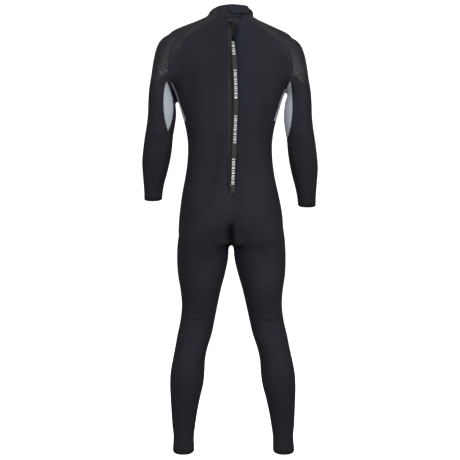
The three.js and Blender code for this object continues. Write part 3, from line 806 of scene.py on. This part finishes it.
def panel(s, name, material, thickness=THICKNESS, depth=SEAM_DEPTH, lift=0.0):
    """One panel of the surface: its outside, dipped into the seams at its edges, its lining and cut edge."""
    t = s.t[s.label == name]
    used, where = np.unique(t, return_inverse=True)
    t = where.reshape(-1, 3)
    v, n = s.v[used], s.n[used]
    edges = corners(t)
    keys, index, count = np.unique(np.sort(edges, axis=1), axis=0, return_index=True, return_counts=True)
    rim = edges[index[count == 1]]
    outer = v + n * lift
    edge = np.unique(rim)
    outer[edge] -= n[edge] * depth
    inner = v + n * (lift - thickness)
    total = len(v)
    faces = [*t.tolist(), *(t[:, ::-1] + total).tolist()]
    faces += [(a, a + total, b + total, b) for a, b in rim[:, ::-1].tolist()]
    made = new_object(name, np.vstack([outer, inner]), faces, material)
    made.data.materials.append(M["lining"])
    inside = np.zeros(len(made.data.polygons), int)
    inside[len(t):2 * len(t)] = 1
    made.data.polygons.foreach_set("material_index", inside)
    paint(made, np.vstack([outer, inner]), name)
    return made


def near_line(v, points, width):
    """1 on a line drawn in x and z and fading to 0 over that width beside it."""
    line = spline(points, 80)
    away = np.min(np.hypot(v[:, None, 0] - line[None, :, 0], v[:, None, 2] - line[None, :, 1]), axis=1)
    return bell(away, 0, width)


# Painted highlight: a reddish sheen painted along the shoulder seams: side, and a line in x and z
SHEEN_LINES = [
    (-1, [(40, 40), (52, 12), (62, -10), (96, -26), (134, -54), (164, -86), (186, -120), (196, -150)]),
    (1, [(70, -8), (96, -22), (126, -44), (160, -74), (186, -104), (200, -140)]),
]
# Light and shade of the photo laid into the colour, because these lights don't give them.
# Paler spots on the back: x, z, spread in x and in z, amount
PALE_SPOTS = [(118, -853, 48, 54, 0.75), (-80, -850, 62, 50, 0.35), (0, -625, 36, 60, 0.35),
              (110, -570, 34, 110, 0.22)]
# Painted shade in the creases at the crotch, front and back: side, a line in x and z, its width, amount
CREASES = [
    (1, [(3, -690), (3, -730), (4, -775)], 8, 0.85),
    (1, [(10, -752), (44, -766), (110, -768)], 15, 0.3),
    (-1, [(0, -752), (50, -768), (130, -776)], 15, 0.3),
]
# Painted shade in lines on the back: a line in x and z, its width, amount
DARK_LINES = [
    ([(-44, -50), (-50, -120), (-46, -210)], 52, 0.2),
    ([(-34, -400), (-38, -500), (-70, -620)], 14, 0.3),
    ([(48, -320), (50, -400), (46, -500)], 12, 0.26),
    ([(-116, -180), (-122, -290), (-112, -400)], 19, 0.24),
    ([(116, -300), (110, -340), (98, -400)], 16, 0.22),
    ([(-16, -708), (-40, -722), (-90, -735)], 14, 0.25),
    ([(-40, -782), (-60, -788), (-90, -792)], 12, 0.22),
]
# First words of the panels that carry tints
TINTED = ("back", "shoulder", "collar", "neck", "seat", "thigh", "belly")


def paint(made, v, name):
    """Writes how far each tint takes the colour: a painted reddish highlight along the shoulder seams, cool
    beside the zip, pale and deep for painted light and shade laid into the cloth, and glint for painted
    highlights, the shoulders' brighter flecks."""
    if name.split("_")[0] not in TINTED:
        return
    x, z = v[:, 0], v[:, 2]
    behind = v[:, 1] < 0
    # Painted highlight: a reddish sheen along the shoulder seams, fainter lower down
    warm = sum(0.5 * near_line(v * (k, 1, 1), line, 7.5) for k, line in SHEEN_LINES)
    warm *= 0.3 + 0.7 * ramp_up(z, -140, 80)
    cool = np.clip(1 - np.abs(x - 20) / 24, 0, 1) ** 0.3 * ramp_up(z, -430, 60)
    # Painted shade in the creases and along the dark lines
    creases = sum(amount * near_line(v * (k, 1, 1), line, width) for k, line, width, amount in CREASES)
    deep = sum(amount * near_line(v, line, width) for line, width, amount in DARK_LINES)
    # Painted light: the paler spots
    pale = sum(amount * bell(x, at, a) * bell(z, height, b) for at, height, a, b, amount in PALE_SPOTS)
    # Painted highlight: the shoulders' glints, near the armpits
    glint = bell(np.abs(x), 218, 22) * bell(z, -185, 30)
    tints = {"warm": warm * behind, "cool": cool * behind, "pale": pale * behind,
             "deep": creases + deep * behind, "glint": glint * behind}
    for tint, value in tints.items():
        if value.max() > 0.02:
            made.data.attributes.new(tint, "FLOAT", "POINT").data.foreach_set("value", value.astype(np.float32))


SLOTS = {"shoulder": "smooth_skin", "side_strip": "grey_neoprene", "underarm": "grey_neoprene",
         "knee_pad": "knee_pad", "ankle_hem": "edging", "wrist_hem": "edging"}
# Panels that bend across a joint or stand for more than the node of their own name
STANDS_FOR = {"sleeve_outer": ("upper_sleeve", "elbow", "forearm_outer"), "seat": ("seat", "knee_back")}


def make_panels(s):
    for name in sorted(set(s.label) - {"off", "suit", "zip"}):
        base, _, side = name.rpartition("_")
        if side not in SIGN:
            base, side = name, ""
        slot = SLOTS.get(base, "neoprene")
        made = panel(s, name, M[slot])
        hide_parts(*[f"{node}_{side}" for node in STANDS_FOR[base]] if base in STANDS_FOR else [name])
        hang(made, base, side)


def hang(made, base, side):
    """Each piece rides on its body; some sleeve and leg pieces are left unattached, with their transform baked
    in.
    """
    if base in ("sleeve_outer", "underarm", "forearm_inner", "thread_arm"):
        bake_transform(made)
    elif base in ("seat", "knee_pad", "thread_leg"):
        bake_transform(made)
    elif base == "wrist_hem":
        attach(made, f"forearm_{side}")
    elif base in ("ankle_hem", "calf", "shin"):
        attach(made, f"lower_leg_{side}")
    else:
        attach(made, "suit")


# ---- the neck tab and its pads, on the worn surface over the collar ----
def rounded_box(centre, half, corner, turn):
    """Positive inside a rounded rectangle drawn on x and z."""
    c, sn = math.cos(turn), math.sin(turn)

    def field(v):
        x, z = v[:, 0] - centre[0], v[:, 2] - centre[1]
        u, w = np.abs(x * c + z * sn) - half[0] + corner, np.abs(z * c - x * sn) - half[1] + corner
        outside = np.hypot(np.maximum(u, 0), np.maximum(w, 0)) + np.minimum(np.maximum(u, w), 0)
        return corner - outside

    return field


def make_neck_tab(v, t):
    layers = [
        ("neck_tab", (28, 20), (30, 15), 7, 6.0, 3.1, "neoprene", "neck_tab"),
        ("tab_hooks", (18, 21), (14.5, 11), 2, 2.6, 1.0, "pad", "neck_tab"),
        ("collar_loops", (18, 21), (14.5, 11), 2, 1.3, 1.0, "pad", "suit"),
    ]
    for name, centre, half, corner, lift, thickness, slot, body in layers:
        s = Surface(v, t)
        field = rounded_box(centre, half, corner, -0.05)
        behind = lambda m: (m[:, 1] < -25) & (m[:, 2] > -40) & (np.abs(m[:, 0]) < 90)
        s.cut(field, {"suit": name}, behind, "tab" if name == "neck_tab" else None)
        assign(panel(s, name, M[slot], thickness, 0.8, lift), slot, body, name)
        if name == "neck_tab":
            rim = Surface(v, t)
            rim.cut(lambda p: field(p) - 3, {"suit": "in"}, behind, "tab_thread")
            stitch_line(rim, "tab_thread", "thread_tab", M["thread"], "neck_tab", 0, lift + 0.15)


# ---- sewing thread ----
STITCH_PITCH = 1.7
THREAD_RADIUS = 0.3
CENTRE_SEAM_THICKER = 0.2
CLEFT_TOP = -686
CLEFT_SUNK = 2.2  # how deep the thread lies between the buttocks


def chains(lines):
    """The seam's loose pieces joined into runs of points."""
    near = {}
    for a, b in lines:
        near.setdefault(a, []).append(b)
        near.setdefault(b, []).append(a)
    left = set(near)
    runs = []
    for first in sorted(near, key=lambda k: (len(near[k]), k)):
        if first not in left:
            continue
        run = [first]
        left.discard(first)
        while True:
            ahead = [k for k in near[run[-1]] if k in left]
            if not ahead:
                break
            run.append(ahead[0])
            left.discard(ahead[0])
        if len(run) > 4:
            runs.append(run)
    return runs


def tube_faces(rows, n):
    """The skin of a closed tube: rows of n points, joined by quads, and its two ends."""
    faces = [(j * n + k, j * n + (k + 1) % n, (j + 1) * n + (k + 1) % n, (j + 1) * n + k)
             for j in range(rows - 1) for k in range(n)]
    return [*faces, tuple(range(n))[::-1], tuple(range((rows - 1) * n, rows * n))]


def tube(points, normals, radius, sides=5):
    """A round thread along the points, as vertices and faces, closed at its ends."""
    tangent = np.gradient(points, axis=0)
    tangent /= np.maximum(np.linalg.norm(tangent, axis=1, keepdims=True), 1e-9)
    across = np.cross(tangent, normals)
    across /= np.maximum(np.linalg.norm(across, axis=1, keepdims=True), 1e-9)
    up = np.cross(across, tangent)
    turn = np.linspace(0, 2 * math.pi, sides, endpoint=False)
    v = (points[:, None] + radius * (np.cos(turn)[None, :, None] * across[:, None]
                                     + np.sin(turn)[None, :, None] * up[:, None])).reshape(-1, 3)
    return v, tube_faces(len(points), sides)


def stitch_line(s, seam, name, material, body=None, width=2.0, lift=0.1):
    """Thread zigzagging over every seam of that name; width 0 gives a row of running stitches."""
    threads = []
    lines = np.vstack([line for key, line in s.seams if key == seam])
    for run in chains(lines.tolist()):
        p, n = s.v[run], s.n[run]
        length = np.concatenate([[0], np.cumsum(np.linalg.norm(np.diff(p, axis=0), axis=1))])
        if length[-1] < 12:
            continue
        at = np.arange(0, length[-1], STITCH_PITCH)
        p = np.stack([np.interp(at, length, p[:, k]) for k in range(3)], 1)
        n = np.stack([np.interp(at, length, n[:, k]) for k in range(3)], 1)
        if len(p) > 12:
            kernel = np.ones(5) / 5
            for k in range(3):
                p[2:-2, k] = np.convolve(p[:, k], kernel, "valid")
        n /= np.linalg.norm(n, axis=1, keepdims=True)
        cleft = (np.abs(p[:, 0]) < 16) & (p[:, 2] < CLEFT_TOP) & (p[:, 1] < 40)
        p -= n * np.where(cleft, CLEFT_SUNK, 0)[:, None]
        thick = THREAD_RADIUS + (CENTRE_SEAM_THICKER if np.abs(p[:, 0]).mean() < 14 else 0)
        if width:
            tangent = np.gradient(p, axis=0)
            tangent /= np.linalg.norm(tangent, axis=1, keepdims=True)
            p = p + np.cross(tangent, n) * (width * np.where(np.arange(len(p)) % 2, 1, -1))[:, None] + n * lift
        else:
            p = p + n * (np.where(np.arange(len(p)) % 3 == 0, -0.45, 0.1)[:, None] + lift)
        threads.append(tube(p, n, thick))
    if not threads:
        return None
    made = new_object(name, *joined(threads), material)
    if body:
        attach(made, body)
    return made


def make_threads(s):
    leg_of = lambda x: "right" if x > LEG_MIDDLE else "left"
    split = []
    for seam, line in s.seams:
        if seam == "legs":
            x = s.v[line].mean(1)[:, 0]
            split += [(f"leg_{side}", line[[leg_of(value) == side for value in x]]) for side in SIGN]
        else:
            split.append((seam, line))
    s.seams = [(seam, line) for seam, line in split if len(line)]
    for seam in sorted({seam for seam, _ in s.seams}):
        hem = seam.startswith("hem_")
        kind, _, side = seam.removeprefix("hem_").rpartition("_")
        made = stitch_line(s, seam, f"thread_{seam}", M["hem_thread" if hem else "thread"])
        if made is None:
            continue
        if hem:
            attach(made, f"forearm_{side}" if kind == "arm" else f"lower_leg_{side}")
        elif kind in ("arm", "leg"):
            hang(made, f"thread_{kind}", side)
        else:
            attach(made, "suit")


# ---- the zip ----
def on_spine(x, y, z):
    """A place beside the spine's line, in mm: y = 0 is the neoprene's outer face, and y grows into the suit."""
    return (x, spine_y(z) + y, z)


def plate(outlines, y0, y1, bevel):
    """A flat plate drawn in x and z, with holes and softened edges, as places by the spine and faces."""
    curve = bpy.data.curves.new("plate", "CURVE")
    curve.dimensions, curve.fill_mode = "2D", "BOTH"
    curve.extrude, curve.bevel_depth, curve.bevel_resolution = (y1 - y0) / 2 - bevel, bevel, 1
    curve.offset = -bevel
    for outline in outlines:
        line = curve.splines.new("POLY")
        line.points.add(len(outline) - 1)
        for point, (x, z) in zip(line.points, outline):
            point.co = (x, z, 0, 1)
        line.use_cyclic_u = True
    maker = bpy.data.objects.new("plate", curve)
    made = maker.to_mesh()
    v = [(p.co.x, (y0 + y1) / 2 + p.co.z, p.co.y) for p in made.vertices]
    faces = [tuple(f.vertices)[::-1] for f in made.polygons]
    maker.to_mesh_clear()
    bpy.data.objects.remove(maker)
    return v, faces


def rectangle(x0, x1, z0, z1):
    return [(x0, z0), (x1, z0), (x1, z1), (x0, z1)]


def rounded(outline, radius, steps=5):
    """The outline with its corners rounded."""
    out = []
    n = len(outline)
    for i, corner in enumerate(outline):
        c, a, b = (np.array(p, float) for p in (corner, outline[i - 1], outline[(i + 1) % n]))
        r = min(radius, np.linalg.norm(a - c) * 0.45, np.linalg.norm(b - c) * 0.45)
        start, end = c + (a - c) / np.linalg.norm(a - c) * r, c + (b - c) / np.linalg.norm(b - c) * r
        for t in np.linspace(0, 1, steps):
            out.append(tuple((1 - t) ** 2 * start + 2 * t * (1 - t) * c + t * t * end))
    return out


def place_piece(name, parts, slot, body):
    """One piece beside the spine's line, which replaces the CAD node of its own name."""
    v, faces = joined(parts)
    assign(new_object(name, [on_spine(*p) for p in v], faces, M[slot]), slot, body, name)


def ribbon(xs, z0, z1, y, thickness):
    """A woven strip down the spine between two edges xs(z), with a slight ripple."""
    zs = np.arange(z0, z1 + 4, 4)
    v = []
    for z in zs:
        a, b = xs(z)
        shares = np.linspace(0, 1, 5)
        x = a + (b - a) * shares
        ripple = 0.25 * np.sin(z / 11 + x * 0.7) * (shares if abs(b) > abs(a) else 1 - shares)
        front = list(zip(x, y + ripple, [z] * 5))
        v += front + [(px, py + thickness, pz) for px, py, pz in front[::-1]]
    return v, tube_faces(len(zs), 10)


TOOTH_PITCH = 2.2


def teeth(side):
    """One row of the coil: a loop every pitch, the two rows half a pitch apart."""
    k = SIGN[side]
    parts = []
    z = ZIP_BOTTOM + 2 + (TOOTH_PITCH / 2 if k > 0 else 0)
    while z < ZIP_TOP - 0.5:
        loop = np.array([[ZIP_X + k * 3.2, 3.1, z], [ZIP_X + k * 1.0, 2.3, z - 0.1], [ZIP_X + k * 0.75, 1.9, z],
                         [ZIP_X + k * 1.0, 1.6, z + 0.2], [ZIP_X + k * 3.2, 1.75, z + 0.4]])
        parts.append(tube(loop, np.tile([0, 0, 1.0], (5, 1)), 0.5, 6))
        z += TOOTH_PITCH
    return parts


def make_zip():
    for side, k in SIGN.items():
        place_piece(f"zip_coil_{side}", teeth(side), "coil", "suit")
        edge = lambda z: np.interp(z, [-80, -62], [20, 9.5])
        xs = lambda z: tuple(sorted((ZIP_X + k * 1.0, ZIP_X + k * edge(z))))
        place_piece(f"zip_tape_{side}", [ribbon(xs, ZIP_BOTTOM - 16, ZIP_TOP + 2, 3.9, 0.7)], "tape", "suit")
        stop = rounded(rectangle(*sorted((ZIP_X + k * 0.7, ZIP_X + k * 3.3)), ZIP_TOP + 0.4, ZIP_TOP + 4), 0.8)
        place_piece(f"top_stop_{side}", [plate([stop], 1.3, 3.6, 0.25)], "zip_metal", "suit")
    box = rounded(rectangle(ZIP_X - 4, ZIP_X + 4, ZIP_BOTTOM - 6, ZIP_BOTTOM + 0.6), 1.5)
    place_piece("zip_stop", [plate([box], 0.9, 3.6, 0.5)], "coil", "suit")


FLAP_RIGHT = [(26, -700), (26, -200), (28, -80), (42, -40), (47, -10), (47, 60)]
FLAP_LEFT = [(-26, -700), (-26, -80), (-24, 60)]


def make_under_flap(v, t):
    """The flap behind the zip, which runs up inside the collar."""
    s = Surface(v, t)
    spine = lambda m: (m[:, 1] < -35) & (np.abs(m[:, 0]) < 70) & (m[:, 2] > -575)
    s.cut(upright(FLAP_LEFT), {"suit": "under_flap"}, spine)
    s.cut(upright(FLAP_RIGHT), {"under_flap": "suit"})
    s.cut(lambda p: p[:, 2] - 24, {"under_flap": "suit"})
    s.cut(lambda p: -566 - p[:, 2], {"under_flap": "suit"})
    assign(panel(s, "under_flap", M["tape"], 2.0, 0, -6.5), "tape", "suit", "under_flap")


def make_slider():
    shield = rounded([(-3, -8), (3, -8), (5.6, -1), (5.6, 8), (-5.6, 8), (-5.6, -1)], 2.5)
    at = lambda outline: [(ZIP_X + x, SLIDER_Z + z) for x, z in outline]
    box = lambda x0, x1, z0, z1: at(rounded(rectangle(x0, x1, z0, z1), 0.5, 3))
    turn = np.linspace(0, math.pi, 13)
    arch = np.stack([np.full(13, ZIP_X), -0.7 - 3.6 * np.sin(turn) ** 0.7, SLIDER_Z - 4.3 * np.cos(turn)], 1)
    parts = [
        plate([at(shield)], -0.9, 0.9, 0.6),
        plate([at(shield)], 5.0, 5.9, 0.3),
        plate([box(-0.4, 0.4, 2, 8)], 0.8, 5.1, 0.1),
        plate([box(-5.6, -4.2, -1, 8)], 0.8, 3.5, 0.3),
        plate([box(4.2, 5.6, -1, 8)], 0.8, 3.5, 0.3),
        tube(arch, np.tile([1.0, 0, 0], (13, 1)), 0.75, 10),
    ]
    place_piece("slider", parts, "zip_metal", "slider")


def turned(x, y, z):
    """A place on the pull tab, which stands a little off the back, turned aside; y = 0 is its middle."""
    rise, lean = math.sin(PULL_LIFT), math.cos(PULL_LIFT)
    y, z = y * lean + z * rise - 2.2, z * lean - y * rise
    c, sn = math.cos(PULL_LEAN), math.sin(PULL_LEAN)
    return (ZIP_X + x * c - z * sn, y, SLIDER_Z + x * sn + z * c)


def make_pull():
    outline = [(-7, -9), (-10.5, -16), (-10.5, -26), (10.5, -26), (10.5, -16), (7, -9), (7, 1), (-7, 1)]
    eye = rounded(rectangle(-5.3, 5.3, -7, -1), 1.2)
    slot = rounded(rectangle(-8.2, 8.2, -23, -19.6), 1.2)
    v, faces = plate([rounded(outline, 2), eye, slot], -0.7, 0.7, 0.3)
    place_piece("pull_tab", [([turned(*p) for p in v], faces)], "zip_metal", "pull")


# ---- the leash ----
LEASH_LINE = [(20, -9, -41), (18, -10.5, -48), (13, -11, -58), (9.5, -11, -77), (11.5, -11, -110),
              (14, -11, -140), (17, -11, -190), (19.5, -10, -270), (18.5, -10, -335), (15, -10, -425),
              (12, -10, -480), (9, -10, -560)]
TURNED_OVER = 95  # how far down the webbing comes flat, having left the pull tab on its edge
PRINTED = [(0.072, 0.183), (0.28, 0.466), (0.568, 0.742), (0.838, 1.0)]


def band_frames(points):
    """Places, side and outward directions along a flat strap."""
    tangent = np.gradient(points, axis=0)
    tangent /= np.linalg.norm(tangent, axis=1, keepdims=True)
    out = np.tile([0, -1.0, 0], (len(points), 1))
    twist = 0.10 * np.sin(np.linspace(0, 17, len(points)))[:, None]
    if len(points) > 100:
        down = np.clip((points[0, 2] - points[:, 2]) / TURNED_OVER, 0, 1)[:, None]
        twist += 1.4 * (1 - down * down * (3 - 2 * down))
    side = np.cross(out, tangent)
    side /= np.linalg.norm(side, axis=1, keepdims=True)
    out = np.cross(tangent, side)
    return points, side * np.cos(twist) + out * np.sin(twist), out * np.cos(twist) - side * np.sin(twist)


def band_mesh(points, side, out, width, thickness):
    """A flat strap with rounded edges."""
    profile = [(-0.5, 0), (-0.47, 0.42), (-0.4, 0.5), (0, 0.5), (0.4, 0.5), (0.47, 0.42), (0.5, 0),
               (0.47, -0.42), (0.4, -0.5), (0, -0.5), (-0.4, -0.5), (-0.47, -0.42)]
    v = [p + s * a * width + o * b * thickness for p, s, o in zip(points, side, out) for a, b in profile]
    return v, [(face[0], *face[:0:-1]) for face in tube_faces(len(points), len(profile))]


def make_leash():
    line = spline([on_spine(*p) for p in LEASH_LINE], 300)
    points, side, out = band_frames(line)
    leash = new_object("leash", *band_mesh(points, side, out, LEASH_WIDTH, 1.6), M["webbing"])
    length = np.linalg.norm(np.diff(line, axis=0), axis=1).sum()
    # The doubled top of the webbing, sewn over itself; its near-black colour is painted shade, for the webbing
    # turned on its edge in shadow
    sleeve = band_mesh(points[:30], side[:30], out[:30], LEASH_WIDTH * 1.06, 2.6)
    fold = new_object("shaded_leash_fold", *sleeve, M["pad"])
    tip_line = spline([line[-1], line[-1] + (0, -0.1, -8), line[-1] + (-0.5, -0.3, -26)], 24)
    tip = new_object("leash_tip", *band_mesh(*band_frames(tip_line), LEASH_WIDTH * 1.01, 3.0), M["webbing"])
    marks = []
    for start, end in PRINTED:
        at, k = start, 0
        while at < end:
            i = int(at * (len(points) - 1))
            for x0, x1 in (((-0.3, 0.3),) if k % 4 else ((-0.3, -0.06), (0.06, 0.3))):
                centre = points[i] + side[i] * (x0 + x1) / 2 * LEASH_WIDTH + out[i] * 0.86
                up = np.cross(side[i], out[i])
                half = [side[i] * (x1 - x0) / 2 * LEASH_WIDTH, up * (0.8 if k % 3 else 1.4), out[i] * 0.08]
                box = [centre + a * half[0] + b * half[1] + c * half[2]
                       for c in (-1, 1) for a, b in ((-1, -1), (1, -1), (1, 1), (-1, 1))]
                marks.append((box, tube_faces(2, 4)))
            at += (4.6 if k % 3 else 6.0) / length
            k += 1
    prints = new_object("leash_print", *joined(marks), M["print"])
    stitches = []
    for a, b in ((0, 20), (274, 298)):
        for edge in (-5.5, 5.5):
            rise = out[a:b] * (1.4 if a == 0 else 0.9)
            stitches.append(tube(points[a:b] + side[a:b] * edge + rise, out[a:b], THREAD_RADIUS))
    sewn = new_object("leash_thread", *joined(stitches), M["thread"])
    assign(leash, "webbing", "slider", "leash")
    assign(tip, "webbing", "slider", "leash_tip")
    for made in (fold, prints, sewn):
        assign(made, "webbing", "slider")


def make_stage():
    """A pale floor inside a wide pale dome, seen only by the camera."""
    white = Nodes("backdrop", (0.9, 0.9, 0.9), 0.9)
    white.set("Emission Color", (1, 1, 1, 1))
    white.set("Emission Strength", 1.0)
    turn = np.linspace(0, 2 * math.pi, 64, endpoint=False)
    tilt = np.radians(np.linspace(-80, 80, 17))
    rings = [DOME_RADIUS / MM * np.stack([math.cos(a) * np.cos(turn), math.cos(a) * np.sin(turn),
                                          np.full(64, math.sin(a))], 1) for a in tilt]
    dome = new_object("dome", *loft_mesh(rings), white.material)
    square = rectangle(-FLOOR_HALF, FLOOR_HALF, -FLOOR_HALF, FLOOR_HALF)
    places = np.array([(x, y, FLOOR_Z) for x, y in square]) / MM
    floor = new_object("floor", places, [(0, 1, 2, 3)], white.material)
    for made in (dome, floor):
        made.visible_diffuse = made.visible_glossy = made.visible_shadow = False
        made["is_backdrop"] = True
    bpy.context.scene.view_settings.view_transform = "Standard"


def make_lights():
    world = bpy.data.worlds.new("studio")
    bpy.context.scene.world = world
    world.use_nodes = True
    world.node_tree.nodes["Background"].inputs["Color"].default_value = (1, 1, 1, 1)
    world.node_tree.nodes["Background"].inputs["Strength"].default_value = 0.3
    area_light("key_left", (-1.9, -3.3, 0.5), (0, 0, -0.65), 0.8, 62)
    area_light("key_right", (2.2, -3.1, 0.3), (0, 0, -0.6), 1.4, 88)
    area_light("top", (0, -1.2, 2.4), (0, 0, -0.5), 1.4, 28)
    area_light("front", (0, 3.6, 0.6), (0, 0, -0.7), 2.2, 75)


M = make_materials()
make_camera()
make_leash()
worn = worn_surface()
surface = Surface(*worn)
cut_collar(surface)
cut_sleeves(surface)
cut_body(surface)
make_panels(surface)
make_threads(surface)
make_neck_tab(*worn)
make_zip()
make_under_flap(*worn)
make_slider()
make_pull()
make_stage()
make_lights()

low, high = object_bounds()
{"cad": [list(c) for c in CAD_BOX], "visual": [list(low), list(high)]}
